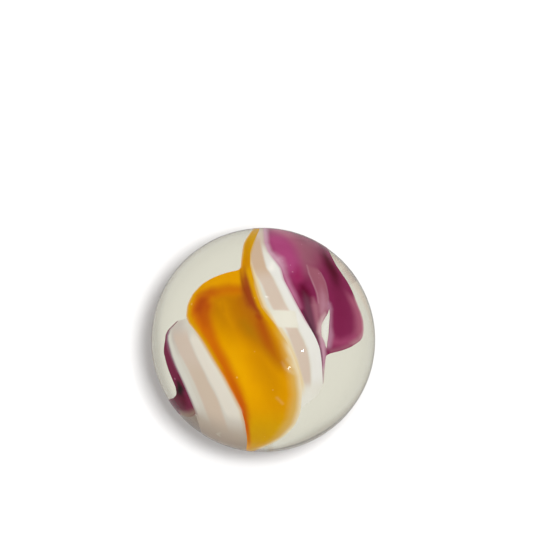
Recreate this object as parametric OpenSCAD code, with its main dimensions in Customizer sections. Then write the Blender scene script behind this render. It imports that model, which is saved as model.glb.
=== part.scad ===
// Glass marble: a clear ball with streams of amber, white and purple glass run into its face.
// The glass is fused into one ball. Each colour is a solid of its own that is set flush in
// the clear glass and meets its neighbours along shared walls.
// +Z points up at the viewer, +X to the right, and +Y to the end where the streams close up.
// Places on the ball are two angles in degrees. The first turns from the middle of the
// upper face over towards +Y, and the second turns from there to the right.

/* [Ball] */
// Diameter of the marble
ball_d = 25; // [16:0.5:50]

/* [Coloured glass] */
// Depth of the amber stream at its middle
amber_depth = 2.4; // [1.2:0.1:3.5]
// Depth of the two white streams at their middles
white_depth = 1.5; // [0.8:0.1:3]
// Depth of the two purple streams at their middles
purple_depth = 1.8; // [0.8:0.1:3]
// Depth to which the edge of each stream goes straight down
edge_depth = 0.4; // [0.2:0.05:0.7]
// Most that a stream bellies inwards, for each millimetre of its width
belly_share = 0.35; // [0.2:0.05:0.6]

/* [Smoothness] */
// Facets round the ball
ball_facets = 120; // [48:12:240]
// Strips across the belly of a stream
strips = 3; // [2:1:6]
// Turn from one row of a stream to the next
row_turn = 3; // [1.5:1.5:6]

/* [Hidden] */

half_turn = 180;
quarter_turn = 90;
ball_r = ball_d / 2;

// The cutters stand out of the ball by this share of its radius
cutter_reach = 0.1;
cutter_r = ball_r * (1 + cutter_reach);

// The clear gap in the purple stream is cut right through it and this far past its belly
gap_margin = 0.5;
gap_depth = purple_depth + gap_margin;

// Rows at which every edge is taken, closer together where an edge runs sideways
first_row = 120;
last_row = -114;
close_rows = [[42, 27], [15, -12]];
ROWS = [
    for (row = [first_row : -row_turn / 2 : last_row])
        if ((first_row - row) / row_turn % 1 == 0 || is_close(row)) row
];

// Edges of the streams, each from the top of the ball to the bottom
AMBER_LEFT = [
    [111, -4.4], [90, -5], [80, -5.5], [70, -7.5], [60, -10], [50, -11], [41, -11.7],
    [39.5, -13], [39, -20], [38, -27], [36, -33], [31, -39], [24, -42.3], [17, -43],
    [12, -41.5], [7, -38], [0, -33], [-10, -27], [-20, -20.7], [-30, -15.5], [-40, -11],
    [-50, -9.2], [-65, -8.3], [-80, -8.6], [-90, -8.6], [-111, -7.5]
];
AMBER_RIGHT = [
    [111, -3.6], [90, -2.2], [80, -2], [70, -3], [60, -5], [50, -6.6], [43, -6.7],
    [37, -5.8], [30, -4.3], [23, -2.5], [17, -0.3], [8.5, 6], [0, 11.5], [-10, 16],
    [-20, 19], [-30, 20], [-40, 19.5], [-50, 17], [-60, 11], [-68, 4], [-73, 0],
    [-80, -4], [-90, -6], [-111, -6.8]
];
WHITE_RIGHT = [
    [120, 8], [111, -2], [90, 0.3], [80, 0.5], [60, 1], [52, 2.7], [47, 5], [40, 9],
    [33, 10.7], [26, 14], [20, 17], [10, 22.6], [0, 28.2], [-6, 30.2], [-15, 31.3],
    [-27, 31.8], [-33, 29.5], [-39, 21]
];
PURPLE_RIGHT = [
    [120, 10], [105, 27], [90, 34], [83, 35], [73, 36.7], [62, 40], [56, 44], [50, 49.3],
    [45, 52.3], [40, 54.8], [34, 57.7], [28, 60.8], [21, 62.8], [12, 63.2], [5, 62.3],
    [0, 60], [-3.3, 55.5], [-6, 50], [-7.5, 44], [-8.7, 36], [-10, 33.8], [-17, 33.1],
    [-27, 32.4]
];
WHITE_LEFT = [
    [15, -49], [13, -51.5], [9, -56.8], [4, -58.8], [0, -58.8], [-6, -57.4], [-14, -55],
    [-21, -52], [-32, -46], [-43, -41], [-54, -37], [-65, -35], [-80, -33], [-90, -31],
    [-105, -24], [-114, -14]
];
PURPLE_LEFT = [
    [15, -50], [13, -52.8], [9, -58], [4, -60.2], [0, -60.6], [-4, -61.3], [-12, -62],
    [-20, -60.4], [-29, -57.4], [-36, -54], [-43, -51], [-48, -50.5], [-57, -52.5],
    [-70, -56], [-85, -57.5], [-100, -56], [-114, -53]
];
// Where the left purple stream leaves the left white one and turns away under the ball
PURPLE_TURN = [[15, -37], [-54, -37], [-63, -40], [-75, -46], [-88, -49], [-114, -52]];
// Clear gap that splits the right purple stream into a lobe and a thin tail
GAP_LEFT = [[21, 35.6], [17, 35], [13, 33], [8, 31], [3, 31.1], [0, 32.4], [-3, 33.5], [-6, 34]];
GAP_RIGHT = [[21, 36.2], [17, 36.4], [10, 36], [4, 35.6], [-2, 34.8], [-6, 34.4]];

function is_close(row) =
    len([for (stretch = close_rows) if (row <= stretch[0] && row >= stretch[1]) row]) > 0;

// Point at two angles and a distance from the middle of the ball
function on_ball(along, across, r) =
    r * [sin(across), cos(across) * sin(along), cos(across) * cos(along)];

// Smooth curve through an edge's points, with no swing past any of them
function rise(edge, i) = (edge[i + 1][1] - edge[i][1]) / (edge[i + 1][0] - edge[i][0]);
function slope(edge, i) =
    i == 0 ? rise(edge, 0)
    : i == len(edge) - 1 ? rise(edge, i - 1)
    : let (above = rise(edge, i - 1), below = rise(edge, i))
      above * below > 0 ? 2 * above * below / (above + below) : 0;
function piece_of(edge, along) =
    max([for (i = [0 : len(edge) - 2]) if (i == 0 || edge[i][0] >= along) i]);
function across_at(edge, along) =
    let (
        i = piece_of(edge, along),
        run = edge[i + 1][0] - edge[i][0],
        t = (along - edge[i][0]) / run
    )
    edge[i][1] * (1 + 2 * t) * (1 - t) ^ 2
    + edge[i + 1][1] * (3 - 2 * t) * t ^ 2
    + run * t * (1 - t) * (slope(edge, i) * (1 - t) - slope(edge, i + 1) * t);
// Rows that two edges share
function last_of(edge) = edge[len(edge) - 1];
function rows_of(left, right) =
    let (top = min(left[0][0], right[0][0]), low = max(last_of(left)[0], last_of(right)[0]))
    [for (row = ROWS) if (row <= top && row >= low) row];

// Section of a stream at one row: its outer side from left to right, then its belly back.
// Its walls go down to the depth `wall`, and its belly to `depth` where it is wide enough.
function section(row, left, right, depth, wall) =
    let (
        width = ball_r * (right - left) * PI / half_turn,
        belly = min(depth - wall, belly_share * width)
    )
    [
        for (j = [0 : strips]) on_ball(row, left + (right - left) * j / strips, cutter_r),
        for (j = [strips : -1 : 0])
            on_ball(
                row,
                left + (right - left) * j / strips,
                ball_r - wall - belly * sin(half_turn * j / strips)
            )
    ];

// Solid between two edges, from outside the ball down to the stream's belly. A third
// edge, where one is given, holds its right side back.
// Both of its walls are split from the outside above to the inside below, so that two
// streams with one edge between them meet on the very same facets.
module stream_cutter(left, right, depth, wall = edge_depth, limit = undef) {
    rows = rows_of(left, right);
    n = 2 * (strips + 1);
    last = len(rows) - 1;
    points = [
        for (row = rows)
            let (
                free = across_at(right, row),
                held = is_undef(limit) ? free : min(free, across_at(limit, row))
            )
            each section(row, across_at(left, row), held, depth, wall)
    ];
    sides = [
        for (k = [0 : last - 1]) for (j = [0 : n - 1])
            let (a = k * n + j, b = k * n + (j + 1) % n)
            each j <= strips ? [[a, b, b + n], [a, b + n, a + n]] : [[a, b, a + n], [b, b + n, a + n]]
    ];
    top = [for (j = [n - 1 : -1 : 0]) j];
    bottom = [for (j = [0 : n - 1]) last * n + j];
    polyhedron(points, concat([top], sides, [bottom]));
}

module amber_cutter() {
    stream_cutter(AMBER_LEFT, AMBER_RIGHT, amber_depth);
}

module white_right_cutter() {
    stream_cutter(AMBER_RIGHT, WHITE_RIGHT, white_depth);
}

module white_left_cutter() {
    stream_cutter(WHITE_LEFT, AMBER_LEFT, white_depth);
}

module purple_right_cutter() {
    difference() {
        stream_cutter(WHITE_RIGHT, PURPLE_RIGHT, purple_depth);
        stream_cutter(GAP_LEFT, GAP_RIGHT, gap_depth, wall = gap_depth);
    }
}

module purple_left_cutter() {
    stream_cutter(PURPLE_LEFT, WHITE_LEFT, purple_depth, limit = PURPLE_TURN);
}

// The ball, with its poles at the clear sides and its seam at the clear back
module ball() {
    rotate([0, quarter_turn, 0])
    sphere(ball_r, $fn = ball_facets);
}

// The clear glass, with a pocket for each stream cut in turn
module clear_glass() {
    color("honeydew", 0.5)
    difference() {
        difference() {
            difference() {
                difference() {
                    difference() {
                        ball();
                        purple_right_cutter();
                    }
                    white_right_cutter();
                }
                amber_cutter();
            }
            white_left_cutter();
        }
        purple_left_cutter();
    }
}

module amber_stream() {
    color("goldenrod")
    intersection() {
        ball();
        amber_cutter();
    }
}

module white_stream_right() {
    color("linen")
    intersection() {
        ball();
        white_right_cutter();
    }
}

module white_stream_left() {
    color("linen")
    intersection() {
        ball();
        white_left_cutter();
    }
}

module purple_stream_right() {
    color("mediumvioletred")
    intersection() {
        ball();
        purple_right_cutter();
    }
}

module purple_stream_left() {
    color("mediumvioletred")
    intersection() {
        ball();
        purple_left_cutter();
    }
}

clear_glass();
amber_stream();
white_stream_right();
white_stream_left();
purple_stream_right();
purple_stream_left();
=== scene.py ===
# %% [markdown]
# A glass marble in Blender
#
# The real thing is one ball of clear, faintly green glass, with streams of amber, white
# and purple glass run into its face while it was soft. Everything that gives it its look
# happens in a thin layer under a very smooth, very shiny skin.
#
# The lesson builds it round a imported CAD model, which fixes the sizes. The clear ball and
# each stream of colour become new pieces with finer surfaces, and each of them stands in
# for the CAD part of the same shape.

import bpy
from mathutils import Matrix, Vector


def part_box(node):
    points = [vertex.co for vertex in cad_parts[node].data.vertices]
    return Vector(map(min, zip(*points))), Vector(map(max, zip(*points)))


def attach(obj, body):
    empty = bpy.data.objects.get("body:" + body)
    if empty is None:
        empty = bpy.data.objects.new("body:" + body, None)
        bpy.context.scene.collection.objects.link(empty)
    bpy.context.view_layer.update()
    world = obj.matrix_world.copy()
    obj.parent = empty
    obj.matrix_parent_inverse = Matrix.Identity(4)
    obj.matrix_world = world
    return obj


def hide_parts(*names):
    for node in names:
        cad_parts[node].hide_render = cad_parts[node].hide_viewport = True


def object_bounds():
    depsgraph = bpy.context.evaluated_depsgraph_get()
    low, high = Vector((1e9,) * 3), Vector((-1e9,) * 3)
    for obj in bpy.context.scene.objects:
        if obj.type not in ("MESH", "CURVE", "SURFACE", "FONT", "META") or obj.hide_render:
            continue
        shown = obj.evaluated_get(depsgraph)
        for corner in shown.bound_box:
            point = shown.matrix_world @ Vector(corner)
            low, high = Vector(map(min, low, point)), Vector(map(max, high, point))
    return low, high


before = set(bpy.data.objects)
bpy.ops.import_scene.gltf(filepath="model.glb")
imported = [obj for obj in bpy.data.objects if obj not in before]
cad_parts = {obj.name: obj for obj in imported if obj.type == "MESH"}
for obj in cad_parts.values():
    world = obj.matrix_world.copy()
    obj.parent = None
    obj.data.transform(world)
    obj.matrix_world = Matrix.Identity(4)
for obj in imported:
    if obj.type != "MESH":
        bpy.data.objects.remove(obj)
cad_low, cad_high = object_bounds()
print("CAD box:", list(cad_low), list(cad_high))

# %% More tools
import math

import bmesh
import bpy
import numpy as np
from mathutils import Matrix, Vector

MM = 0.001
glass_low, glass_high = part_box("clear_glass")
BALL_R = (glass_high.x - glass_low.x) / 2
print(f"radius of the ball: {BALL_R / MM:.2f} mm")

# %% [markdown]
# The camera
#
# The marble was photographed from straight above, from far enough away that its outline
# is a true circle and half of the ball shows. A very long lens does that. The camera
# hangs above the middle of the ball and is tipped by a hair towards the middle of the
# picture, so that it still looks straight down on the ball itself.

# %% The camera above the ball
PHOTO_SIDE = 533
PHOTO_BALL_X = 263.2
PHOTO_BALL_Y = 340.0
PHOTO_BALL_R = 112.2
LENS = 1000
SENSOR = 36

metres_per_pixel = BALL_R / PHOTO_BALL_R
picture_width = PHOTO_SIDE * metres_per_pixel
distance = picture_width * LENS / SENSOR
aim = Vector((
    (PHOTO_SIDE / 2 - PHOTO_BALL_X) * metres_per_pixel,
    (PHOTO_BALL_Y - PHOTO_SIDE / 2) * metres_per_pixel,
    0,
))

camera_data = bpy.data.cameras.new("camera")
camera_data.lens = LENS
camera_data.sensor_width = SENSOR
camera_data.clip_end = 4 * distance
camera = bpy.data.objects.new("camera", camera_data)
camera.location = (0, 0, distance)
camera.rotation_mode = "QUATERNION"
ahead = (aim - camera.location).normalized()
to_right = ahead.cross(Vector((0, 1, 0))).normalized()
turned = Matrix((to_right, to_right.cross(ahead), -ahead)).transposed()
camera.rotation_quaternion = turned.to_quaternion()
bpy.context.scene.collection.objects.link(camera)
bpy.context.scene.camera = camera
bpy.context.scene.view_settings.view_transform = "Standard"
print(f"camera {distance:.2f} m up, picture {picture_width / MM:.1f} mm wide")

# %% [markdown]
# Nodes without tears
#
# Every material here is a small tree of nodes. Helpers keep that short: one adds a node
# and sets its sockets by name or draws the links to them, and the rest are for the kinds
# of node that come up again and again.

# %% Helpers for node trees
def add_node(tree, kind, sockets=None, **settings):
    """A new node in a tree, with some of its settings and of its sockets' values."""
    made = tree.nodes.new(kind)
    for name, value in settings.items():
        setattr(made, name, value)
    for name, value in (sockets or {}).items():
        if isinstance(value, bpy.types.NodeSocket):
            tree.links.new(value, made.inputs[name])
        else:
            made.inputs[name].default_value = value
    return made


def add_math(tree, operation, first, second, clamp=False):
    """The result of a Math node on two numbers or sockets."""
    return add_node(
        tree, "ShaderNodeMath", {0: first, 1: second}, operation=operation,
        use_clamp=clamp).outputs[0]


def ease_between(tree, value, start, end, at_start=0.0, at_end=1.0):
    """A number that runs softly between two values as a socket goes from start to end."""
    return add_node(tree, "ShaderNodeMapRange", {
        "Value": value, "From Min": start, "From Max": end,
        "To Min": at_start, "To Max": at_end,
    }, interpolation_type="SMOOTHSTEP").outputs["Result"]


def mix_numbers(tree, factor, first, second):
    """The result of mixing two numbers or sockets."""
    return add_node(tree, "ShaderNodeMix", {
        "Factor": factor, "A": first, "B": second}, data_type="FLOAT").outputs["Result"]


def mix_colours(tree, factor, first, second, **settings):
    """The result of mixing two colours or sockets."""
    return add_node(tree, "ShaderNodeMix", {
        0: factor, 6: first, 7: second}, data_type="RGBA", **settings).outputs[2]


def empty_tree(owner):
    """The node tree of a material or of the world, with nothing in it."""
    owner.use_nodes = True
    owner.node_tree.nodes.clear()
    return owner.node_tree


def put_out(tree, shader, kind="ShaderNodeOutputMaterial"):
    """Makes a shader the surface of a material or of the world."""
    tree.links.new(shader.outputs[0], add_node(tree, kind).inputs["Surface"])


print("node trees can be built")

# %% A helper for meshes
def add_object(name, bm, material):
    """Makes a bmesh into an object of one material, and links it to the scene."""
    mesh = bpy.data.meshes.new(name)
    bm.to_mesh(mesh)
    bm.free()
    mesh.materials.append(material)
    made = bpy.data.objects.new(name, mesh)
    bpy.context.scene.collection.objects.link(made)
    return made


print("and meshes can be shown")

# %% [markdown]
# The light
#
# The photo has soft, even studio light and pure white all round. A pale world lights the
# marble from everywhere, and rays from the camera and through glass see plain white in its
# place, so the background is white with no more light on the marble. In gloss the studio
# is white low down and dark overhead, where the camera hangs, which keeps the colours in
# the middle of the marble deep. GLARE dims all of it in gloss, as a polarising filter does.

# %% The world
WORLD_LIGHT = 0.95
SKY_WHITE = 1.0
GLARE = 0.15
GLARE_OVERHEAD = 0.02
# Heights in the sky, from 0 at its edge to 1 overhead, between which the glare fades
WHITE_BELOW = 0.0
DARK_FROM = 0.65


def rays(tree, kind):
    """One for the rays of a kind, and zero for the rest."""
    return add_node(tree, "ShaderNodeLightPath").outputs[kind]


def sees_white(tree):
    """One for rays from the camera and through glass, and zero for the rest."""
    return add_math(
        tree, "MAXIMUM", rays(tree, "Is Camera Ray"), rays(tree, "Is Transmission Ray"))


def in_gloss(tree):
    """One for rays off a shiny face. Those through glass count as glossy too, so they go."""
    return add_math(
        tree, "SUBTRACT", rays(tree, "Is Glossy Ray"), rays(tree, "Is Transmission Ray"),
        clamp=True)


world = bpy.data.worlds.new("studio")
bpy.context.scene.world = world
tree = empty_tree(world)
look = add_node(tree, "ShaderNodeTexCoord").outputs["Generated"]
up = add_node(tree, "ShaderNodeSeparateXYZ", {"Vector": look}).outputs["Z"]
glare = ease_between(tree, up, WHITE_BELOW, DARK_FROM, GLARE, GLARE_OVERHEAD)
plain_light = mix_numbers(tree, sees_white(tree), WORLD_LIGHT, SKY_WHITE)
strength = mix_numbers(tree, in_gloss(tree), plain_light, glare)
background = add_node(tree, "ShaderNodeBackground", {"Strength": strength})
put_out(tree, background, "ShaderNodeOutputWorld")
print("world strength for plain light:", WORLD_LIGHT)

# %% [markdown]
# The table
#
# The table is pale paper, and a little glow for the rays that look at it makes it white
# without more light on the marble. In gloss it is dimmed like the studio, but less so
# close to the ball, which keeps the rim of the glass from turning black.

# %% The paper
TABLE_COLOUR = 0.5
TABLE_GLOW = 0.09
NEAR_GLARE = 0.38
NEAR_R = 1.6 * BALL_R
FAR_R = 3.0 * BALL_R

paper = bpy.data.materials.new("white_table")
tree = empty_tree(paper)
plain = add_node(tree, "ShaderNodeBsdfDiffuse", {"Color": (TABLE_COLOUR,) * 3 + (1,)})
glow = add_node(tree, "ShaderNodeEmission", {
    "Strength": add_math(tree, "MULTIPLY", sees_white(tree), TABLE_GLOW)})
lit_paper = add_node(tree, "ShaderNodeAddShader", {0: plain.outputs[0], 1: glow.outputs[0]})
place = add_node(tree, "ShaderNodeTexCoord").outputs["Object"]
flat = add_node(tree, "ShaderNodeVectorMath", {
    0: place, 1: (1, 1, 0)}, operation="MULTIPLY").outputs[0]
away = add_node(tree, "ShaderNodeVectorMath", {0: flat}, operation="LENGTH").outputs["Value"]
dimming = ease_between(tree, away, NEAR_R, FAR_R, 1 - NEAR_GLARE, 1 - GLARE)
dimmed = add_node(tree, "ShaderNodeMixShader", {
    0: add_math(tree, "MULTIPLY", in_gloss(tree), dimming), 1: lit_paper.outputs[0]})
print("nodes in the paper so far:", len(tree.nodes))

# %% [markdown]
# What is seen through the ball
#
# Glass gathers light on the table below it, which takes thousands of paths to find. Rays
# that look through glass see a bright patch there at once. Near its rim the ball shows the
# table right under it, squeezed together, so a few soft spots in the patch draw the
# darker, greyer and pinker places along the rim.

# %% The bright patch
CONTACT_SHADE = 0.9
PATCH_SHADE = 0.94
PATCH_R = 0.19 * BALL_R
# The direction of each spot in degrees, then its distance, half its length and half its
# width in radii of the ball, then its softness and its tone
PATCH_SPOTS = [
    (188, 0.085, 0.05, 0.045, 0.6, (0.76, 0.755, 0.75, 1)),
    (300, 0.075, 0.055, 0.032, 0.6, (0.72, 0.70, 0.68, 1)),
    (293, 0.045, 0.026, 0.016, 0.4, (0.2, 0.19, 0.17, 1)),
    (34, 0.075, 0.045, 0.028, 0.5, (1.0, 0.86, 0.81, 1)),
]


def cover_of_spot(direction, distance, half_length, half_width, soft):
    """How much a soft oval covers each place on the table."""
    turn = math.radians(direction)
    middle = distance * BALL_R * Vector((math.cos(turn), math.sin(turn), 0))
    across_spot = add_node(tree, "ShaderNodeMapping", {
        "Vector": flat, "Location": middle, "Rotation": (0, 0, turn),
        "Scale": (half_length * BALL_R, half_width * BALL_R, 1)}, vector_type="TEXTURE")
    from_middle = add_node(tree, "ShaderNodeVectorMath", {
        0: across_spot.outputs[0]}, operation="LENGTH").outputs["Value"]
    return ease_between(tree, from_middle, 1 + soft, 1 - soft)


patch_colour = (1, 1, 1, 1)
for direction, distance, half_length, half_width, soft, tone in PATCH_SPOTS:
    cover = cover_of_spot(direction, distance, half_length, half_width, soft)
    patch_colour = mix_colours(tree, cover, patch_colour, tone)
bright_patch = add_node(tree, "ShaderNodeEmission", {
    "Strength": ease_between(tree, away, 0.0, PATCH_R, CONTACT_SHADE, PATCH_SHADE),
    "Color": patch_colour})
put_out(tree, add_node(tree, "ShaderNodeMixShader", {
    0: rays(tree, "Is Transmission Ray"), 1: dimmed.outputs[0], 2: bright_patch.outputs[0]}))
print("soft spots in the patch:", len(PATCH_SPOTS))

# %% The table's top
TABLE_SIDE = 1.2

bm = bmesh.new()
bmesh.ops.create_grid(bm, x_segments=1, y_segments=1, size=TABLE_SIDE / 2)
bmesh.ops.translate(bm, verts=bm.verts, vec=(0, 0, cad_low.z))
table = add_object("table", bm, paper)
print("table at", cad_low.z)

# %% [markdown]
# The lamps
#
# Two square lamps have a job each, which light linking allows. One models the marble from
# the upper right. The other stands almost overhead and lights only the table, so that the
# ball's soft shadow peeps out as a narrow crescent on the lower left.

# %% The lamps
KEY_FROM = Vector((0.30, 0.26, 0.92)).normalized()
KEY_SIDE = 0.16
KEY_POWER = 0.8
SHADOW_FROM = Vector((0.097, 0.054, 0.994)).normalized()
SHADOW_SIDE = 0.09
SHADOW_POWER = 4.95
LAMP_AWAY = 0.6


def area_lamp(name, towards, side, power):
    """A square lamp that shines on the ball, unseen in gloss and through glass."""
    data = bpy.data.lights.new(name, "AREA")
    data.size = side
    data.energy = power
    lamp = bpy.data.objects.new(name, data)
    lamp.location = towards * LAMP_AWAY
    lamp.rotation_mode = "QUATERNION"
    lamp.rotation_quaternion = (-towards).to_track_quat("-Z", "Y")
    lamp.visible_glossy = False
    lamp.visible_transmission = False
    lit = bpy.data.collections.new("lit_by_" + name)
    lamp.light_linking.receiver_collection = lit
    bpy.context.scene.collection.objects.link(lamp)
    return lit


key_lights = area_lamp("key_lamp", KEY_FROM, KEY_SIDE, KEY_POWER)
area_lamp("table_lamp", SHADOW_FROM, SHADOW_SIDE, SHADOW_POWER).objects.link(table)

# %% [markdown]
# Places on the ball
#
# A flat x and y don't suit a ball. Each place is two angles instead: the first turns from
# the middle of the upper face over towards the top of the picture, and the second turns
# from there to the right. The edges of the streams are lists of such pairs, and a smooth
# curve that never swings past its points runs through each list.

# %% From two angles to a place on the ball
def on_ball(along, across, radius=BALL_R):
    """The point at two angles, in degrees, and a distance from the middle."""
    turn, lean = math.radians(along), math.radians(across)
    return radius * Vector((
        math.sin(lean), math.cos(lean) * math.sin(turn), math.cos(lean) * math.cos(turn)))


def rise(edge, i):
    """How fast an edge moves sideways between two of its points."""
    return (edge[i + 1][1] - edge[i][1]) / (edge[i + 1][0] - edge[i][0])


def slope(edge, i):
    """How fast it moves at a point, so that the curve doesn't swing past any of them."""
    if i in (0, len(edge) - 1):
        return rise(edge, min(i, len(edge) - 2))
    above, below = rise(edge, i - 1), rise(edge, i)
    return 2 * above * below / (above + below) if above * below > 0 else 0


def across_at(edge, along):
    """Where an edge lies, across the ball, at one turn along it."""
    i = max(i for i in range(len(edge) - 1) if i == 0 or edge[i][0] >= along)
    run = edge[i + 1][0] - edge[i][0]
    t = (along - edge[i][0]) / run
    return (
        edge[i][1] * (1 + 2 * t) * (1 - t) ** 2
        + edge[i + 1][1] * (3 - 2 * t) * t ** 2
        + run * t * (1 - t) * (slope(edge, i) * (1 - t) - slope(edge, i + 1) * t)
    )


print("top of the ball in millimetres:", on_ball(90, 0) / MM)

# %% The edges of the streams
AMBER_LEFT = [
    (111, -4.4), (90, -5), (80, -5.5), (70, -7.5), (60, -10), (50, -11), (41, -11.7),
    (39.5, -13), (39, -20), (38, -27), (36, -33), (31, -39), (24, -42.3), (17, -43),
    (12, -41.5), (7, -38), (0, -33), (-10, -27), (-20, -20.7), (-30, -15.5), (-40, -11),
    (-50, -9.2), (-65, -8.3), (-80, -8.6), (-90, -8.6), (-111, -7.5),
]
AMBER_RIGHT = [
    (111, -3.6), (90, -2.2), (80, -2), (70, -3), (60, -5), (50, -6.6), (43, -6.7),
    (37, -5.8), (30, -4.3), (23, -2.5), (17, -0.3), (8.5, 6), (0, 11.5), (-10, 16),
    (-20, 19), (-30, 20), (-40, 19.5), (-50, 17), (-60, 11), (-68, 4), (-73, 0),
    (-80, -4), (-90, -6), (-111, -6.8),
]
WHITE_RIGHT = [
    (120, 8), (111, -2), (90, 0.3), (80, 0.5), (60, 1), (52, 2.7), (47, 5), (40, 9),
    (33, 10.7), (26, 14), (20, 17), (10, 22.6), (0, 28.2), (-6, 30.2), (-15, 31.3),
    (-27, 31.8), (-33, 29.5), (-39, 21),
]
PURPLE_RIGHT = [
    (120, 10), (105, 27), (90, 34), (83, 35), (73, 36.7), (62, 40), (56, 44), (50, 49.3),
    (45, 52.3), (40, 54.8), (34, 57.7), (28, 60.8), (21, 62.8), (12, 63.2), (5, 62.3),
    (0, 60), (-3.3, 55.5), (-6, 50), (-7.5, 44), (-8.7, 36), (-10, 33.8), (-17, 33.1),
    (-27, 32.4),
]
WHITE_LEFT = [
    (15, -49), (13, -51.5), (9, -56.8), (4, -58.8), (0, -58.8), (-6, -57.4), (-14, -55),
    (-21, -52), (-32, -46), (-43, -41), (-54, -37), (-65, -35), (-80, -33), (-90, -31),
    (-105, -24), (-114, -14),
]
PURPLE_LEFT = [
    (15, -50), (13, -52.8), (9, -58), (4, -60.2), (0, -60.6), (-4, -61.3), (-12, -62),
    (-20, -60.4), (-29, -57.4), (-36, -54), (-43, -51), (-48, -50.5), (-57, -52.5),
    (-70, -56), (-85, -57.5), (-100, -56), (-114, -53),
]
PURPLE_TURN = [(15, -37), (-54, -37), (-63, -40), (-75, -46), (-88, -49), (-114, -52)]
GAP_LEFT = [
    (21, 35.6), (17, 35), (13, 33), (8, 31), (3, 31.1), (0, 32.4), (-3, 33.5), (-6, 34),
]
GAP_RIGHT = [(21, 36.2), (17, 36.4), (10, 36), (4, 35.6), (-2, 34.8), (-6, 34.4)]
SEAM_TOP = [(120, 9), (105, 13), (90, 17), (70, 20), (50, 27), (35, 33), (21, 35.9)]
SEAM_FOOT = [(-6, 34.2), (-10, 33.2), (-17, 32.4), (-27, 32.1)]
SEAM_LEFT = SEAM_TOP + GAP_LEFT[1:-1] + SEAM_FOOT
SEAM_RIGHT = SEAM_TOP + GAP_RIGHT[1:-1] + SEAM_FOOT
print("points along the amber stream's left edge:", len(AMBER_LEFT))

# %% [markdown]
# Colour in layers
#
# Coloured glass is never one colour. Where two gathers fold over each other it goes
# darker, where it thins it turns to honey or milk, and its edges feather out. Each of
# these is a layer here: a colour, and brush strokes or bands that say where it lies.
#
# A stroke is a chain of points, each with two angles, half a width in millimetres and,
# where it isn't full, a strength. A band lies between two lines. How much each point of a
# mesh gets of a layer is kept on the mesh as an attribute, and the material mixes the
# layers one after another. So the pattern follows the glass and not the camera.

# %% Strokes and bands
def eased(t):
    """From 0 to 1 with a soft start and end."""
    t = np.clip(t, 0, 1)
    return t * t * (3 - 2 * t)


def moved(edge, by):
    """An edge shifted sideways by some degrees."""
    return [(along, across + by) for along, across in edge]


def cover_of_stroke(places, soft, points):
    """How much a stroke covers each place: 1 inside, fading out over its soft rim."""
    cover = np.zeros(len(places))
    rows = [(tuple(point) + (1.0,))[:4] for point in points]
    for first, second in zip(rows, rows[1:]):
        start, end = (np.array(on_ball(row[0], row[1])) for row in (first, second))
        run = end - start
        t = np.clip((places - start) @ run / (run @ run), 0, 1)
        away = np.linalg.norm(places - start - t[:, None] * run, axis=1)
        half = (first[2] + t * (second[2] - first[2])) * MM
        strength = first[3] + t * (second[3] - first[3])
        fading = (half + soft * MM - away) / (2 * soft * MM)
        cover = np.maximum(cover, strength * eased(fading))
    return cover


def cover_of_band(angles, left, right, soft, top, low, fade=8, strength=1.0):
    """How much a band between two lines covers each place, with feathered ends."""
    along, across = angles
    left_at, right_at = (
        np.interp(along, [p[0] for p in line][::-1], [p[1] for p in line][::-1])
        for line in (left, right))
    mm_per_degree = math.radians(BALL_R / MM)
    inside = (
        eased((across - left_at) * mm_per_degree / soft + 0.5)
        * eased((right_at - across) * mm_per_degree / soft + 0.5))
    ends = eased((top - along) / fade + 0.5) * eased((along - low) / fade + 0.5)
    return strength * inside * ends


def lay_colours(mesh, layers):
    """Keeps on a mesh, as one attribute for each layer, how much of it each point gets."""
    places = np.empty(len(mesh.vertices) * 3)
    mesh.vertices.foreach_get("co", places)
    places = places.reshape(-1, 3)
    places *= BALL_R / np.linalg.norm(places, axis=1)[:, None]
    angles = (
        np.degrees(np.arctan2(places[:, 1], places[:, 2])),
        np.degrees(np.arcsin(np.clip(places[:, 0] / BALL_R, -1, 1))))
    for name, tone, soft, marks in layers:
        cover = np.zeros(len(places))
        for mark in marks:
            if isinstance(mark, dict):
                cover = np.maximum(cover, cover_of_band(angles, **mark))
            else:
                cover = np.maximum(cover, cover_of_stroke(places, soft, mark))
        mesh.attributes.new(name, "FLOAT", "POINT").data.foreach_set("value", cover)


print("a band and a stroke are ready to paint with")

# %% [markdown]
# Colours as they are seen
#
# The colours of the layers are written as they look on a screen, from 0 to 255, because
# that is how a maker picks them. Blender counts light evenly, so they are turned into that.

# %% From screen colours to Blender's
def seen(red, green, blue):
    """A colour as a screen shows it, turned into Blender's even count of light."""
    def even(value):
        share = value / 255
        return share / 12.92 if share <= 0.04045 else ((share + 0.055) / 1.055) ** 2.4
    return even(red), even(green), even(blue), 1


print("honey gold is", [round(value, 3) for value in seen(232, 162, 0)])

# %% [markdown]
# What all of the glass shares
#
# Close up, hand-made glass shows three more things. The colour drifts in soft streaks,
# tiny bubbles called seeds sit in it like grains of dust, and the polish is a little
# uneven. Each is a node group with its own inputs. The coloured glasses use all three of
# them, and the clear ball uses only the polish.

# %% Node groups for streaks, seeds and polish
STREAK_TILT = -28
STREAK_STRETCH = 0.22
STREAK_FROM, STREAK_FULL = 0.38, 0.66
SEED_GROWTH_FROM = 0.4
HANDLING_SCALE = 260.0
WORN_FROM, WORN_FULL = 0.35, 0.7
PEEL_SCALE = 520.0


def new_group(name, inputs, outputs):
    """An empty node group with these numbers going in, and those coming out."""
    group = bpy.data.node_groups.new(name, "ShaderNodeTree")
    for title, value in inputs.items():
        group.interface.new_socket(
            name=title, in_out="INPUT", socket_type="NodeSocketFloat").default_value = value
    for title in outputs:
        group.interface.new_socket(name=title, in_out="OUTPUT", socket_type="NodeSocketFloat")
    given, result = group.nodes.new("NodeGroupInput"), group.nodes.new("NodeGroupOutput")
    return group, given.outputs, result.inputs


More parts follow.
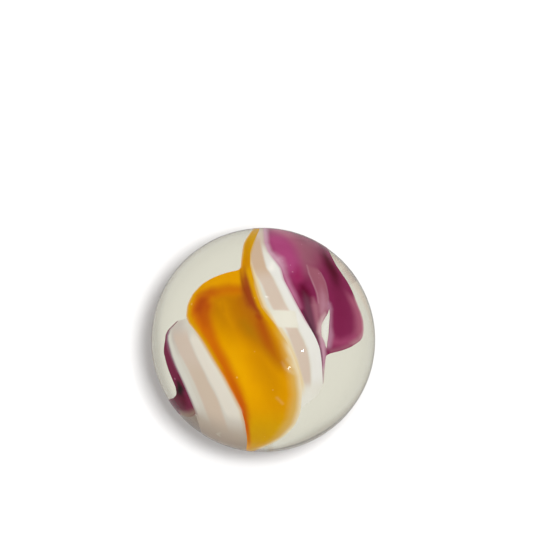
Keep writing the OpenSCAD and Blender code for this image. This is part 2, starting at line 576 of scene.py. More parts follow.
streaks, given, result = new_group("glass_streaks", {"Scale": 400.0, "Seed": 0.0}, ["Mask"])
place = add_node(streaks, "ShaderNodeTexCoord").outputs["Object"]
tilted = add_node(streaks, "ShaderNodeMapping", {
    "Vector": place, "Rotation": (0, 0, math.radians(STREAK_TILT)),
    "Scale": (1.0, STREAK_STRETCH, 1.0)})
streak_noise = add_node(streaks, "ShaderNodeTexNoise", {
    "Vector": tilted.outputs[0], "W": given["Seed"], "Scale": given["Scale"],
    "Detail": 3.0, "Roughness": 0.55, "Distortion": 0.6}, noise_dimensions="4D")
streak_mask = add_node(streaks, "ShaderNodeMapRange", {
    "Value": streak_noise.outputs[0], "From Min": STREAK_FROM, "From Max": STREAK_FULL})
streaks.links.new(streak_mask.outputs["Result"], result["Mask"])

seeds, given, result = new_group(
    "glass_seeds", {"Scale": 900.0, "Size": 0.12, "Share": 0.2}, ["Mask"])
place = add_node(seeds, "ShaderNodeTexCoord").outputs["Object"]
cells = add_node(seeds, "ShaderNodeTexVoronoi", {"Vector": place, "Scale": given["Scale"]})
chance = add_node(seeds, "ShaderNodeSeparateXYZ", {"Vector": cells.outputs["Color"]})
present = add_math(seeds, "LESS_THAN", chance.outputs["X"], given["Share"])
growth = add_math(seeds, "ADD", chance.outputs["Y"], SEED_GROWTH_FROM)
own_size = add_math(seeds, "MULTIPLY", given["Size"], growth)
fading = add_math(seeds, "DIVIDE", cells.outputs["Distance"], own_size)
dot = add_math(seeds, "SUBTRACT", 1.0, add_math(seeds, "POWER", fading, 2.0), clamp=True)
seeds.links.new(add_math(seeds, "MULTIPLY", dot, present), result["Mask"])

polish, given, result = new_group(
    "glass_polish", {"Smoothest": 0.02, "Dullest": 0.08}, ["Roughness", "Height"])
place = add_node(polish, "ShaderNodeTexCoord").outputs["Object"]
handling = add_node(polish, "ShaderNodeTexNoise", {
    "Vector": place, "Scale": HANDLING_SCALE, "Detail": 4.0, "Roughness": 0.6})
worn = add_node(polish, "ShaderNodeMapRange", {
    "Value": handling.outputs[0], "From Min": WORN_FROM, "From Max": WORN_FULL,
    "To Min": given["Smoothest"], "To Max": given["Dullest"]})
polish.links.new(worn.outputs["Result"], result["Roughness"])
orange_peel = add_node(polish, "ShaderNodeTexNoise", {
    "Vector": place, "Scale": PEEL_SCALE, "Detail": 1.0})
polish.links.new(orange_peel.outputs[0], result["Height"])
print("node groups:", [group.name for group in bpy.data.node_groups])

# %% [markdown]
# One material for every coloured glass
#
# The layers are mixed in their order over the base. Streaks shade the result by a few
# per cent, seeds add pale grains, and polish drives the roughness and a very faint bump.
# The glass is dense, so it is a plain surface with a gloss, and a low specular level
# keeps its dark places deep. The clear ball gathers light on the belly of each stream, as
# it does on the table, and a glow that only rays through glass see stands for that.

# %% The layered glass
GLASS_INDEX = 1.5
BELLY_GLOW = 0.4
DRIFT_SCALE = 420.0
DRIFT_DEPTH = 0.16
GRAIN_SCALE = 1000.0
GRAIN_PALENESS = 0.55
PEEL_HEIGHT = 0.02 * MM


def place_group(tree, group, **values):
    """A node group in a tree, with some of its inputs set."""
    made = add_node(tree, "ShaderNodeGroup", node_tree=group)
    for name, value in values.items():
        made.inputs[name].default_value = value
    return made.outputs


def add_finish(tree, shader, smoothest, dullest, bump):
    """Uneven polish on a shader, its roughness and a faint bump, and the shader put out."""
    skin = place_group(tree, polish, Smoothest=smoothest, Dullest=dullest)
    tree.links.new(skin["Roughness"], shader.inputs["Roughness"])
    bumped = add_node(tree, "ShaderNodeBump", {
        "Strength": bump, "Distance": PEEL_HEIGHT, "Height": skin["Height"]})
    tree.links.new(bumped.outputs[0], shader.inputs["Normal"])
    put_out(tree, shader)


def lay_over(tree, colour, layers):
    """A colour with layers mixed over it, each as far as its attribute on the mesh says."""
    for name, tone, soft, marks in layers:
        mask = add_node(tree, "ShaderNodeAttribute", attribute_name=name).outputs["Fac"]
        colour = mix_colours(tree, mask, colour, tone)
    return colour


def coloured_glass(
        name, base, layers, shade, grain, seed_size=0.16, seed_share=0.12, gloss=0.15):
    """Dense glass of many layers, with streaks of a shade and seeds of a pale grain."""
    made = bpy.data.materials.new(name)
    tree = empty_tree(made)
    colour = lay_over(tree, base, layers)
    drift = place_group(tree, streaks, Scale=DRIFT_SCALE, Seed=float(len(layers)))["Mask"]
    shaded = mix_colours(
        tree, add_math(tree, "MULTIPLY", drift, DRIFT_DEPTH), colour, shade,
        blend_type="MULTIPLY")
    dots = place_group(tree, seeds, Scale=GRAIN_SCALE, Size=seed_size, Share=seed_share)["Mask"]
    dotted = mix_colours(tree, add_math(tree, "MULTIPLY", dots, GRAIN_PALENESS), shaded, grain)
    through = rays(tree, "Is Transmission Ray")
    shader = add_node(tree, "ShaderNodeBsdfPrincipled", {
        "Base Color": dotted, "IOR": GLASS_INDEX, "Specular IOR Level": gloss,
        "Emission Color": dotted,
        "Emission Strength": add_math(tree, "MULTIPLY", through, BELLY_GLOW)})
    add_finish(tree, shader, smoothest=0.02, dullest=0.09, bump=0.12)
    return made


print("dense glass is ready")

# %% [markdown]
# The clear ball
#
# A ball of glass bends what is seen through it, so every facet would show. A sphere made
# of even triangles, split often and shaded smooth, has no poles that pinch the reflections.
# It is a hair smaller than the marble, so that each stream's face lies just outside it.
#
# Its material is plain transmission with the true index of glass, and a base colour that
# leans to cream and green. Two layers on it, as on a stream, are painted light: painted
# shade at the lower left, where the purple glass ends, and a painted window reflection in
# the gap on the right.

# %% The clear ball's mesh and glass
SKIN = 0.02 * MM
BALL_SPLITS = 7
CLEAR_TINT = (0.80, 0.785, 0.665, 1)
CLEAR_LAYERS = [
    # Painted shade: a dark tint that darkens the clear glass along the lower left rim
    ("painted_shade_film", (0.11, 0.07, 0.05, 1), 0.4, [
        [(-54, -38, 0.2), (-60, -37.6, 0.7), (-68, -38.6, 1.3), (-76, -40.5, 1.8)]]),
    # Painted reflection of a window: a pale tint in the clear gap on the right
    ("painted_window_reflection", (1, 1, 0.95, 1), 0.25, [
        [(16, 35.2, 0.05), (11, 34.2, 0.3), (6, 33.4, 0.4), (0, 33.4, 0.15)]]),
]


def add_piece(name, bm, material, slot, layers, *nodes):
    """Makes a bmesh into a painted piece that stands for CAD nodes of the marble."""
    piece = add_object(name, bm, material)
    lay_colours(piece.data, layers)
    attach(piece, "root")
    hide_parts(*nodes)
    key_lights.objects.link(piece)
    print(name, len(piece.data.polygons), "faces,", len(layers), "layers of colour")


clear = bpy.data.materials.new("clear_glass")
tree = empty_tree(clear)
shader = add_node(tree, "ShaderNodeBsdfPrincipled", {
    "Base Color": lay_over(tree, CLEAR_TINT, CLEAR_LAYERS), "IOR": GLASS_INDEX,
    "Transmission Weight": 1.0})
add_finish(tree, shader, smoothest=0.0, dullest=0.015, bump=0.03)

bm = bmesh.new()
bmesh.ops.create_icosphere(bm, subdivisions=BALL_SPLITS, radius=BALL_R - SKIN)
for face in bm.faces:
    face.smooth = True
add_piece("glass_ball", bm, clear, "clear_glass", CLEAR_LAYERS, "clear_glass")

# %% [markdown]
# A stream of coloured glass
#
# Each stream starts as a flat grid. Its columns run along the stream and its rows across
# it, so wrapping it round the ball is only a matter of moving each point to its own two
# angles. The sheet is then extruded inwards, and the new side is pushed down into a belly.

# %% From a flat grid to a stream
AMBER_DEPTH = 2.4 * MM
WHITE_DEPTH = 1.5 * MM
PURPLE_DEPTH = 1.8 * MM
EDGE_DEPTH = 0.15 * MM
BELLY_SHARE = 0.35
ROWS = 400
COLUMNS = 56
FINE_STEPS = 4000
SHARP_FROM = 50


def rows_along(left, right):
    """Turns at which the rows lie, evenly spaced along the longer of the two edges."""
    top, low = min(left[0][0], right[0][0]), max(left[-1][0], right[-1][0])
    turns = [top + (low - top) * k / FINE_STEPS for k in range(FINE_STEPS + 1)]
    run = [0.0]
    ends = [[on_ball(turn, across_at(edge, turn)) for turn in turns] for edge in (left, right)]
    for k in range(FINE_STEPS):
        run.append(run[-1] + max((end[k + 1] - end[k]).length for end in ends))
    return np.interp(np.linspace(0, run[-1], ROWS + 1), run, turns)


def wrap_sheet(bm, left, right, limit=None):
    """Adds a grid to a bmesh and lays it on the ball between two edges."""
    turns = rows_along(left, right)
    sheet = bmesh.ops.create_grid(bm, x_segments=COLUMNS, y_segments=ROWS, size=0.5)["verts"]
    share_layer = bm.verts.layers.float["share"]
    width_layer = bm.verts.layers.float["width"]
    ends = []
    for turn in turns:
        end = across_at(right, turn)
        ends.append((across_at(left, turn), min(end, across_at(limit, turn)) if limit else end))
    for point in sheet:
        row = round((0.5 - point.co.y) * ROWS)
        share = point.co.x + 0.5
        start, end = ends[row]
        point[share_layer] = share
        point[width_layer] = BALL_R * math.radians(end - start)
        point.co = on_ball(turns[row], start + (end - start) * share)


def make_stream(sheets, depth):
    """A closed solid: its face lies on the ball, and its other side bellies inwards."""
    bm = bmesh.new()
    share_layer = bm.verts.layers.float.new("share")
    width_layer = bm.verts.layers.float.new("width")
    for sheet in sheets:
        wrap_sheet(bm, *sheet)
    bmesh.ops.remove_doubles(bm, verts=bm.verts, dist=MM / 1000)
    face_points = set(bm.verts)
    bmesh.ops.extrude_face_region(bm, geom=list(bm.faces))
    for point in bm.verts:
        if point not in face_points:
            belly = min(depth - EDGE_DEPTH, BELLY_SHARE * point[width_layer])
            sink = EDGE_DEPTH + belly * math.sin(math.pi * point[share_layer])
            point.co *= 1 - sink / BALL_R
    bmesh.ops.recalc_face_normals(bm, faces=bm.faces)
    for face in bm.faces:
        face.smooth = True
    for edge in bm.edges:
        if edge.is_manifold and edge.calc_face_angle(0) > math.radians(SHARP_FROM):
            edge.smooth = False
    return bm


print("a sheet has", ROWS * COLUMNS, "faces")

# %% [markdown]
# The amber stream
#
# The wide middle stream is honey gold. A dusky tract runs down its upper half, a burnt
# streak follows its left edge from the lobe to the foot, and a strand of darker glass lies
# over it at the top. Its lower right side thins out through honey to cream.

# %% Amber glass
AMBER_LAYERS = [
    ("gold", seen(242, 173, 4), 1.5, [
        [(-6, -17, 0.5, 0.8), (-15, -12, 1.2), (-25, -7, 1.5), (-35, -4, 1.2, 0.6)]]),
    ("far_strand", seen(212, 158, 2), 0.6, [
        dict(left=moved(AMBER_LEFT, -4), right=moved(AMBER_RIGHT, 4), soft=0.3, top=130, low=44,
             fade=10)]),
    ("dusk", seen(192, 120, 8), 1.4, [
        [(22, -24, 0.7, 0.9), (24, -20, 0.8, 0.9), (18, -12, 1.8), (10, -8, 1.8), (2, -2, 1.4),
         (-5, 4, 1.2), (-12, 9, 0.9), (-18, 12, 0.4, 0.5)],
        [(24, -25, 0.6, 0.8), (17, -24, 1, 0.9), (10, -20, 1, 0.75), (4, -14, 0.9, 0.5)],
        [(24, -21, 0.4), (16, -21, 0.8, 0.9)],
        [(-8, -1, 1.2, 0.5), (-18, 3, 1.2, 0.5), (-26, 6, 1.1, 0.4), (-38, 8, 1.0, 0.2)]]),
    ("olive", seen(176, 124, 14), 0.7, [
        [(9, -10, 0.4, 0.5), (5, -7, 0.5, 0.6), (1, -4, 0.3, 0.3)]]),
    ("russet", seen(174, 90, 22), 0.9, [
        [(22, -9.5, 0.5, 0.7), (15, -6.5, 0.5, 0.5), (8, -2.5, 0.6, 0.5), (0, 1, 0.4, 0.4)]]),
    ("umber", seen(178, 82, 16), 0.6, [
        [(12, -2.5, 0.1), (8, -1, 0.4), (3, 1, 0.5, 0.85), (-3, 3.4, 0.5, 0.7),
         (-10, 7, 0.4, 0.3)]]),
    ("umber_spot", seen(168, 66, 16), 0.35, [
        [(12.5, -3, 0.15), (11, -1.5, 0.2, 0.8)]]),
    ("shade_of_rim", seen(208, 118, 10), 0.6, [
        [(17, -38, 0.3), (22, -36, 0.5), (27, -31, 0.6), (28, -25, 0.6), (28, -18, 0.6),
         (27, -12, 0.5)]]),
    ("burnt", seen(215, 114, 10), 0.6, [
        [(27, -36, 0.4, 0.8), (20, -35, 0.9), (13, -33.5, 0.9), (5, -29.5, 0.8), (-5, -25, 0.7),
         (-12, -21, 0.7), (-20, -17, 0.65), (-28, -13.5, 0.6), (-36, -10.5, 0.45),
         (-44, -8.5, 0.35)]]),
    ("rust", seen(192, 88, 16), 0.8, [
        [(29, -34, 0.3, 0.7), (29, -28, 0.4, 0.8), (26, -25, 0.2, 0.5)],
        [(24, -32, 0.6), (20, -30, 0.7), (15, -30, 0.6, 0.8), (10, -29, 0.5, 0.7),
         (4, -27, 0.3, 0.4)]]),
    ("ember", seen(182, 76, 18), 0.6, [
        [(25, -30, 0.15, 0.7), (24, -33, 0.4), (20, -34.5, 0.6), (15, -33.5, 0.4, 0.6),
         (9, -31, 0.2, 0.3)]]),
    ("scorch", seen(207, 92, 14), 0.35, [
        [(-10, -23, 0.2, 0.1), (-18, -18.6, 0.35, 0.25), (-26, -14.8, 0.4, 0.5),
         (-32, -12.4, 0.4, 0.8), (-37, -10.7, 0.42), (-42, -9.4, 0.45), (-50, -8, 0.5),
         (-57, -7.2, 0.35), (-64, -7, 0.25, 0.8), (-72, -7, 0.15, 0.5)]]),
    ("strand", seen(208, 138, 2), 0.45, [
        [(62, -7.2, 0.1, 0.5), (54, -8.2, 0.25, 0.8), (48, -8.4, 0.4), (42, -9, 0.6),
         (36, -8.5, 0.7), (28, -6.5, 0.7), (20, -4.5, 0.5), (15, -2, 0.2)]]),
    ("strand_red", seen(160, 71, 28), 0.45, [
        [(41, -9.4, 0.1, 0.4), (33, -8.6, 0.5, 0.9), (27, -7.5, 0.75), (20, -5.1, 0.75),
         (14.5, -2.8, 0.3), (12, -1.8, 0.1)]]),
    ("fold", seen(148, 62, 12), 0.2, [
        [(40, -11.7, 0.05, 0.6), (33, -11, 0.08, 0.8), (28, -10, 0.08), (23, -8.2, 0.05, 0.7),
         (19, -6.5, 0.02, 0.4)]]),
    ("golden_edge", seen(222, 160, 6), 0.35, [
        dict(left=moved(AMBER_RIGHT, -2.6), right=moved(AMBER_RIGHT, 5), soft=0.5, top=40,
             low=-14, fade=6),
        dict(left=moved(AMBER_LEFT, -5), right=moved(AMBER_LEFT, 2.5), soft=0.6, top=36, low=-16,
             fade=6, strength=0.8)]),
    ("foot", seen(218, 164, 5), 1.0, [
        dict(left=moved(AMBER_LEFT, 2), right=moved(AMBER_RIGHT, 9), soft=0.6, top=-44, low=-130,
             fade=22)]),
    ("honey", seen(220, 178, 92), 0.5, [
        dict(left=[(8, 6), (3, 8), (0, 9.6), (-10, 11.6), (-20, 14), (-30, 15), (-45, 12.6),
                   (-60, 6), (-74, -3)],
             right=moved(AMBER_RIGHT, 9), soft=1.5, top=5, low=-76, fade=8)]),
    ("cream", seen(238, 224, 190), 0.3, [
        dict(left=moved(AMBER_RIGHT, -1.6), right=moved(AMBER_RIGHT, 9), soft=0.9, top=-2,
             low=-76, fade=8),
        dict(left=moved(AMBER_RIGHT, -0.2), right=moved(AMBER_RIGHT, 9), soft=0.35, top=30,
             low=-2, fade=6, strength=0.6),
        dict(left=moved(AMBER_LEFT, -9), right=moved(AMBER_LEFT, 0.3), soft=0.4, top=84, low=-40,
             fade=6, strength=0.6)]),
    # Partly painted highlight round the glint of lamp_card_low, and a faint cream streak below
    ("milk", seen(236, 216, 176), 0.3, [
        [(-11.5, 9.6, 0.03, 0.2), (-13.5, 10.8, 0.05, 0.35), (-15.5, 12, 0.03, 0.4)],
        [(-15, 12, 0.03, 0.6), (-16, 13.5, 0.12, 0.7), (-18, 15.5, 0.03, 0.5)],
        [(-10, 12.5, 0.1, 0.5), (-14, 15.3, 0.2, 0.5)],
        [(-31, 7, 0.02, 0.25), (-35, 10, 0.02, 0.25)]]),
]

amber = coloured_glass(
    "amber_glass", seen(232, 162, 0), AMBER_LAYERS, seen(236, 190, 120), seen(244, 200, 120),
    seed_size=0.12, seed_share=0.2)
add_piece(
    "amber_glass_stream", make_stream([(AMBER_LEFT, AMBER_RIGHT)], AMBER_DEPTH),
    amber, "amber_glass", AMBER_LAYERS, "amber_stream")

# %% [markdown]
# The white streams
#
# Both white streams are milky with a thinner, beige middle. On the right one the beige is
# a clean stripe between pale borders. On the left one it is a soft blush.

# %% White glass, right
BEIGE_LEFT = [(85, -2), (80, -2.4), (70, -3), (60, -5.2), (50, -6.4), (45, -6), (40, -5),
    (35, -3.4), (30, -0.8), (25, 1), (20, 3), (15, 5.5), (10, 8.8), (5, 12), (0, 14),
    (-5, 15.8), (-10, 17.6), (-15, 18.9), (-20, 20.2), (-25, 21.6), (-30, 22.6)]
BEIGE_RIGHT = [(85, -1.6), (70, -1.6), (60, -1.5), (50, -0.4), (45, 0.4), (40, 1.4), (37, 3),
    (33, 5.2), (30, 6.4), (25, 8.6), (20, 10.8), (15, 13.6), (10, 16.2), (5, 18.2), (0, 20.8),
    (-5, 22.8), (-10, 23.8), (-15, 24.5), (-20, 24.8), (-25, 25), (-30, 25)]
WHITE_RIGHT_LAYERS = [
    # Painted shade: the far end of the stream, over the top of the ball, a little darker
    ("painted_shade_far_end", seen(212, 196, 176), 0.4, [
        dict(left=moved(AMBER_RIGHT, -3), right=moved(WHITE_RIGHT, 3), soft=0.3, top=130, low=56,
             fade=12)]),
    ("warm", seen(234, 212, 166), 0.4, [
        dict(left=moved(AMBER_RIGHT, -3), right=moved(AMBER_RIGHT, 2), soft=0.6, top=44,
             low=-36)]),
    ("beige", seen(217, 198, 180), 0.2, [
        dict(left=BEIGE_LEFT, right=BEIGE_RIGHT, soft=0.35, top=76, low=-27)]),
    ("tan", seen(210, 182, 154), 0.2, [
        dict(left=BEIGE_LEFT, right=BEIGE_RIGHT, soft=0.35, top=64, low=36, fade=10)]),
    ("honey_rim", seen(216, 172, 84), 0.3, [
        dict(left=moved(AMBER_RIGHT, -3), right=moved(AMBER_RIGHT, 0.5), soft=0.35, top=66,
             low=12)]),
    ("pale_border", seen(236, 234, 226), 0.3, [
        dict(left=moved(BEIGE_RIGHT, 0.9), right=moved(WHITE_RIGHT, 3), soft=0.45, top=48,
             low=-26, fade=12)]),
    ("lilac_fade", seen(196, 152, 168), 0.3, [
        dict(left=moved(WHITE_RIGHT, -0.6), right=moved(WHITE_RIGHT, 3), soft=0.5, top=100,
             low=8)]),
    # Painted reflection of a window: a cream square over the beige, under window_card's glint
    ("window", seen(233, 229, 212), 0.15, [
        dict(left=[(18, 2), (8, 7), (4, 10)], right=[(16, 16.5), (8, 18), (4, 18)], soft=0.3,
             top=15.5, low=6.5, fade=1.5)]),
    ("clear_foot", seen(234, 231, 218), 1, [
        [(-33, 24, 1.2), (-38, 22, 2)]]),
    # Painted highlight: a soft white glint at the top of the border with the purple
    ("glow", seen(252, 248, 238), 0.5, [
        [(43, 4.6, 0.1, 0.8), (39.5, 4.2, 0.2)]]),
]

milk = coloured_glass(
    "white_glass_right", seen(228, 224, 210), WHITE_RIGHT_LAYERS, seen(244, 240, 232),
    seen(246, 240, 228), seed_share=0.05, gloss=0.25)
add_piece(
    "white_glass_stream_right", make_stream([(AMBER_RIGHT, WHITE_RIGHT)], WHITE_DEPTH),
    milk, "white_glass", WHITE_RIGHT_LAYERS, "white_stream_right")

# %% White glass, left
BLUSH_LEFT = [(5, -53), (0, -52), (-10, -48), (-20, -41.5), (-30, -36.5), (-40, -32.5),
    (-55, -28), (-65, -26)]
BLUSH_RIGHT = [(5, -42), (0, -41), (-10, -36.5), (-20, -31.5), (-25, -29.5), (-30, -26.5),
    (-35, -24), (-40, -22.5), (-50, -20), (-65, -17)]
WHITE_LEFT_LAYERS = [
    ("head", seen(210, 200, 188), 0.8, [
        [(12, -48, 0.6), (7, -50, 1.1), (2, -50, 1.1), (-4, -48, 0.9, 0.7)]]),
    ("blush", seen(219, 201, 183), 0.5, [
        dict(left=BLUSH_LEFT, right=BLUSH_RIGHT, soft=0.6, top=6, low=-70, fade=10)]),
    ("tan", seen(217, 198, 177), 0.5, [
        dict(left=BLUSH_LEFT, right=BLUSH_RIGHT, soft=0.6, top=-17, low=-70, fade=12)]),
    ("left_border", seen(226, 223, 210), 0.3, [
        dict(left=moved(WHITE_LEFT, -3),
             right=[(9, -55), (5, -55), (0, -54.3), (-10, -51), (-20, -45.5), (-30, -40.5),
                    (-40, -36.5), (-50, -33.5), (-60, -33)],
             soft=0.5, top=8, low=-52)]),
    ("cream_band", seen(237, 230, 215), 0.4, [
        dict(left=[(0, -40), (-10, -36), (-20, -30.5), (-30, -25), (-40, -21), (-50, -17)],
             right=moved(AMBER_LEFT, 3), soft=0.6, top=4, low=-46)]),
    ("warm", seen(222, 188, 144), 0.4, [
        dict(left=moved(AMBER_LEFT, -1), right=moved(AMBER_LEFT, 3), soft=0.5, top=4, low=-60)]),
    ("lilac_edge", seen(148, 114, 126), 0.3, [
        dict(left=moved(WHITE_LEFT, -3), right=moved(WHITE_LEFT, 1.3), soft=0.5, top=10,
             low=-58)]),
    # Painted shade: the stream's foot by the lower rim is darker, and darker still near its end
    ("foot", seen(188, 172, 154), 0.3, [
        dict(left=moved(WHITE_LEFT, -9), right=moved(AMBER_LEFT, 9), soft=0.3, top=-53, low=-98,
             fade=22)]),
    ("painted_shade_deep_foot", seen(166, 148, 130), 0.3, [
        dict(left=moved(WHITE_LEFT, -9), right=moved(AMBER_LEFT, 9), soft=0.3, top=-68, low=-94,
             fade=16)]),
    # Painted highlight: the small glint of a lamp low on the stream, which no card can give
    ("painted_lamp_glint", seen(206, 200, 184), 0.2, [
        [(-63, -22.5, 0.05, 0.6), (-66.5, -24, 0.1, 0.9), (-68, -22.6, 0.05, 0.6)]]),
]

cream = coloured_glass(
    "white_glass_left", seen(222, 216, 202), WHITE_LEFT_LAYERS, seen(244, 238, 228),
    seen(240, 232, 216), seed_share=0.05, gloss=0.25)
add_piece(
    "white_glass_stream_left", make_stream([(WHITE_LEFT, AMBER_LEFT)], WHITE_DEPTH),
    cream, "white_glass", WHITE_LEFT_LAYERS, "white_stream_left")

# %% [markdown]
# The purple streams
#
# The right one is magenta where it is thin and nearly black where it folds. A paler lens
# lies in it, a painted reflection of a window, above the gap that parts its lobe from its
# tail. It is two sheets that share a seam, and the seam opens round the gap. The left one is
# a sliver along the white stream, with a charcoal knot where it turns under the ball.

# %% Purple glass, right
LENS_LEFT = [(50, 23.5), (47, 22.6), (40, 23.8), (35, 25.6), (30, 27.6), (25, 28.6), (20, 29.2),
    (15, 30), (12, 30.7)]
LENS_RIGHT = [(50, 27.5), (45, 30), (40, 32.8), (35, 34.2), (30, 34.8), (25, 35.2), (21, 35.5),
    (18, 34.5), (15, 32.5), (12, 31.2)]
PURPLE_RIGHT_LAYERS = [
    ("mauve", seen(154, 90, 108), 1.4, [
        [(86, 24, 1.2), (78, 14, 1), (72, 24, 1), (62, 22, 1.6), (52, 21, 1.6),
         (44, 22, 1, 0.8)]]),
    ("rose", seen(178, 102, 126), 1.0, [
        [(90, 8, 1.2), (82, 8, 1.2), (74, 11, 1.2), (66, 14, 0.9, 0.8), (56, 18, 0.5, 0.5)]]),
    ("magenta", seen(174, 72, 122), 1, [
        [(74, 5, 0.8, 0.6), (64, 7, 1.4), (55, 10, 1.5), (47, 13, 1.3), (41, 15, 1),
         (36, 16, 0.5, 0.7)]]),
    ("wine", seen(152, 42, 90), 0.7, [
        [(42, 18, 0.3, 0.8), (36, 17.5, 0.6), (30, 17.5, 0.3, 0.6)]]),
    ("dark", seen(94, 6, 40), 0.6, [
        [(33, 21.5, 0.1, 0.4), (30, 20.5, 0.4, 0.9), (27, 21.5, 0.6), (23.5, 23, 0.5),
         (21, 25, 0.2, 0.6)]]),
    ("plum_ridge", seen(84, 10, 36), 0.75, [
        [(76, 31.5, 0.1, 0.5), (69, 32.4, 0.25, 0.8), (62, 34, 0.55), (55, 36.5, 0.8),
         (48, 39.5, 0.8), (41, 41, 0.7, 0.95), (34, 42, 0.6, 0.7), (27, 43, 0.4, 0.5)]]),
    ("lobe", seen(126, 34, 74), 1.3, [
        [(42, 44, 0.8, 0.6), (32, 43, 1.5, 0.8), (20, 44, 1.2), (8, 44, 0.8, 0.6)]]),
    ("right_light", seen(168, 90, 114), 0.8, [
        dict(left=moved(PURPLE_RIGHT, -8), right=moved(PURPLE_RIGHT, 6), soft=1.9, top=38, low=2,
             fade=10)]),
    ("low_edge", seen(170, 78, 114), 0.6, [
        [(3, 37, 0.3, 0.6), (-1, 39, 0.4, 0.8), (-2, 43, 0.3, 0.8), (-1, 48, 0.4, 0.8),
         (2, 54, 0.4, 0.8)]]),
    ("rim_light", seen(198, 152, 158), 0.5, [
        dict(left=moved(PURPLE_RIGHT, -1.4), right=moved(PURPLE_RIGHT, 6), soft=0.7, top=40,
             low=3),
        [(-3, 50, 0.05, 0.5), (-2.5, 53.5, 0.2, 0.8), (0, 58, 0.2, 0.8), (4, 61, 0.15)],
        [(-7, 37, 0.05, 0.4), (-6.4, 43, 0.05, 0.4), (-4.5, 50, 0.05, 0.5)]]),
    # Painted reflection of a window: the paler lens, lighter at its foot and along its edges
    ("lens", seen(158, 92, 108), 0.25, [
        dict(left=LENS_LEFT, right=LENS_RIGHT, soft=0.3, top=46, low=12, fade=4)]),
    ("painted_reflection_lens_foot", seen(178, 124, 140), 0.5, [
        [(34, 31, 0.1, 0.4), (28, 32, 0.4, 0.8), (22, 32.3, 0.5), (17, 31.4, 0.3)]]),
    ("painted_reflection_lens_edge", seen(190, 140, 156), 0.15, [
        [(46, 22.8, 0.03, 0.7), (40, 24, 0.05, 0.8), (34, 26.3, 0.04), (28, 28.6, 0.05, 0.8),
         (22, 29.4, 0.04, 0.8)],
        [(44, 30.6, 0.02, 0.6), (38, 33.4, 0.03, 0.6), (30, 34.9, 0.04, 0.7),
         (23, 35.3, 0.05, 0.8)]]),
    ("gap_light", seen(178, 125, 147), 0.4, [
        [(23, 35.8, 0.2), (20, 36.2, 0.3), (16, 36.6, 0.15), (9, 36.4, 0.2), (3, 36.2, 0.45),
         (-3, 35.4, 0.4)]]),
    ("strand", seen(112, 64, 82), 0.45, [
        [(27, 21, 0.1, 0.5), (23, 22.6, 0.4, 0.8), (18, 23.6, 0.5), (13, 24.8, 0.5),
         (9, 26, 0.45), (5, 27.5, 0.35), (1, 29, 0.25), (-3, 30, 0.15)]]),
    ("strand_edge", seen(74, 50, 60), 0.2, [
        [(16, 20.8, 0.06), (11, 23.2, 0.1), (7, 25.2, 0.1), (3, 27, 0.08)]]),
    ("between", seen(166, 104, 120), 0.35, [
        [(24, 26.4, 0.2, 0.6), (20, 27.4, 0.4), (15, 28.2, 0.35), (10, 28.8, 0.3),
         (5, 29.6, 0.25)]]),
    ("gap_left_light", seen(212, 180, 180), 0.4, [
        [(16, 33.6, 0.05), (13, 31.8, 0.2), (9, 30.6, 0.25), (5, 30.2, 0.25), (1, 31.2, 0.2),
         (-3, 32.9, 0.2)]]),
    ("pink_edge", seen(192, 118, 150), 0.4, [
        [(40, 9.8, 0.2, 0.6), (35, 11.4, 0.3), (30, 13.2, 0.3), (25, 15.6, 0.3),
         (18, 19, 0.15, 0.7)]]),
    ("lilac_edge", seen(204, 162, 178), 0.6, [
        dict(left=moved(WHITE_RIGHT, -3), right=moved(WHITE_RIGHT, 1.6), soft=0.7, top=100,
             low=46, fade=10)]),
    # Painted highlight: the same soft glint as on the white stream, running on over the purple
    ("painted_highlight_haze", seen(220, 178, 194), 0.8, [
        [(50, 5.2, 0.15, 0.6), (46, 7.4, 0.45, 0.9), (42, 9.3, 0.25, 0.9),
         (38, 10.6, 0.05, 0.6)]]),
    ("tail_light", seen(196, 150, 166), 0.3, [
        [(1, 30.8, 0.15, 0.8), (-3, 31.8, 0.3), (-9, 32.4, 0.3), (-14, 32.6, 0.25),
         (-18, 32.6, 0.2)]]),
    ("tail_dark", seen(112, 76, 92), 0.12, [
        [(-5, 30.6, 0.05), (-10, 31.4, 0.06), (-15, 31.8, 0.04, 0.7)]]),
    ("tail_end", seen(206, 190, 182), 0.25, [
        [(-15, 33, 0.05, 0.5), (-18, 32.8, 0.15), (-28, 32.2, 0.3)]]),
]

plum = coloured_glass(
    "purple_glass_right", seen(132, 40, 80), PURPLE_RIGHT_LAYERS, seen(215, 180, 205),
    seen(205, 140, 170), seed_size=0.14, seed_share=0.3)
add_piece(
    "purple_glass_stream_right",
    make_stream([(WHITE_RIGHT, SEAM_LEFT), (SEAM_RIGHT, PURPLE_RIGHT)], PURPLE_DEPTH),
    plum, "purple_glass", PURPLE_RIGHT_LAYERS, "purple_stream_right")

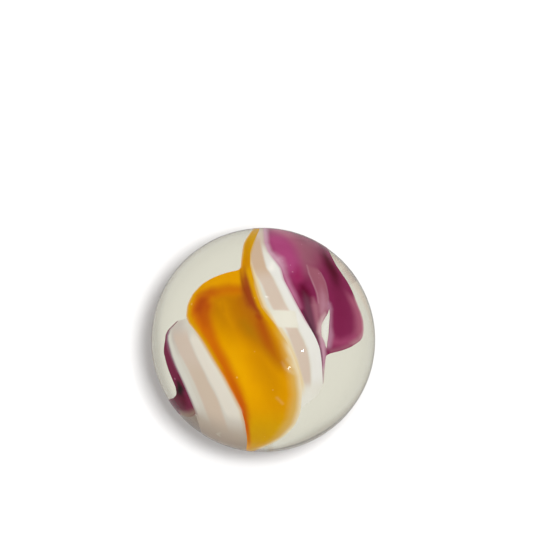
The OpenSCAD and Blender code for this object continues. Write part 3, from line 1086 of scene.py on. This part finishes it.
# %% Purple glass, left
PURPLE_LEFT_LAYERS = [
    ("wine", seen(100, 30, 50), 0.5, [
        [(-46, -45, 0.4), (-51, -47, 1.0), (-58, -49, 1.2), (-66, -52, 1.4)]]),
    ("charcoal", seen(44, 30, 30), 0.45, [
        [(-32, -49.4, 0.1, 0.3), (-36, -48.6, 0.4, 0.9), (-39, -47.4, 0.55), (-43, -48, 0.5),
         (-46, -49.4, 0.3, 0.8)]]),
    ("pink_side", seen(150, 92, 112), 0.25, [
        [(8, -58.6, 0.1), (0, -59.4, 0.1), (-8, -57.6, 0.15), (-16, -54.6, 0.1, 0.7),
         (-26, -49.8, 0.1, 0.5)]]),
    ("fade", seen(150, 126, 108), 0.5, [
        [(-53, -37.4, 0.25), (-59, -39.6, 0.35), (-66, -42.4, 0.55), (-72, -45, 0.7)]]),
]

wine = coloured_glass(
    "purple_glass_left", seen(124, 44, 72), PURPLE_LEFT_LAYERS, seen(215, 180, 205),
    seen(200, 130, 160), seed_size=0.14, seed_share=0.3)
add_piece(
    "purple_glass_stream_left",
    make_stream([(PURPLE_LEFT, WHITE_LEFT, PURPLE_TURN)], PURPLE_DEPTH),
    wine, "purple_glass", PURPLE_LEFT_LAYERS, "purple_stream_left")

# %% [markdown]
# Glints
#
# Polished glass mirrors every lamp and window of the room as a small bright shape. A card
# that only gloss can see makes one of them. A mirror sends a look down from above twice as
# far over as the glass leans, so a card is put in that direction from a place on the ball,
# and its glint lies exactly there.

# %% Cards for the window and the small lamps
CARD_AWAY = 0.5


def add_card(name, along, across, width, height, strength):
    """A glowing card whose glint, seen from above, lies at two angles on the ball."""
    facing = on_ball(along, across, 1.0)
    towards = 2 * facing.z * facing - Vector((0, 0, 1))
    glowing = bpy.data.materials.new(name)
    tree = empty_tree(glowing)
    put_out(tree, add_node(tree, "ShaderNodeEmission", {"Strength": strength}))
    bm = bmesh.new()
    bmesh.ops.create_grid(bm, x_segments=1, y_segments=1, size=0.5)
    bmesh.ops.scale(bm, verts=bm.verts, vec=(width, height, 1))
    turn = (-towards).to_track_quat("Z", "Y").to_matrix().to_4x4()
    to_place = Matrix.Translation(towards * CARD_AWAY) @ turn
    bmesh.ops.transform(bm, verts=bm.verts, matrix=to_place)
    card = add_object(name, bm, glowing)
    card.visible_camera = card.visible_diffuse = False
    card.visible_transmission = card.visible_shadow = False


add_card("window_card", 11, 11.5, 0.20, 0.17, 2.0)
add_card("lamp_card_right", -5.8, 20.4, 0.020, 0.014, 100.0)
add_card("lamp_card_low", -14.5, 13.3, 0.020, 0.018, 60.0)
add_card("lamp_card_top", 22.4, 2.3, 0.030, 0.012, 9.0)
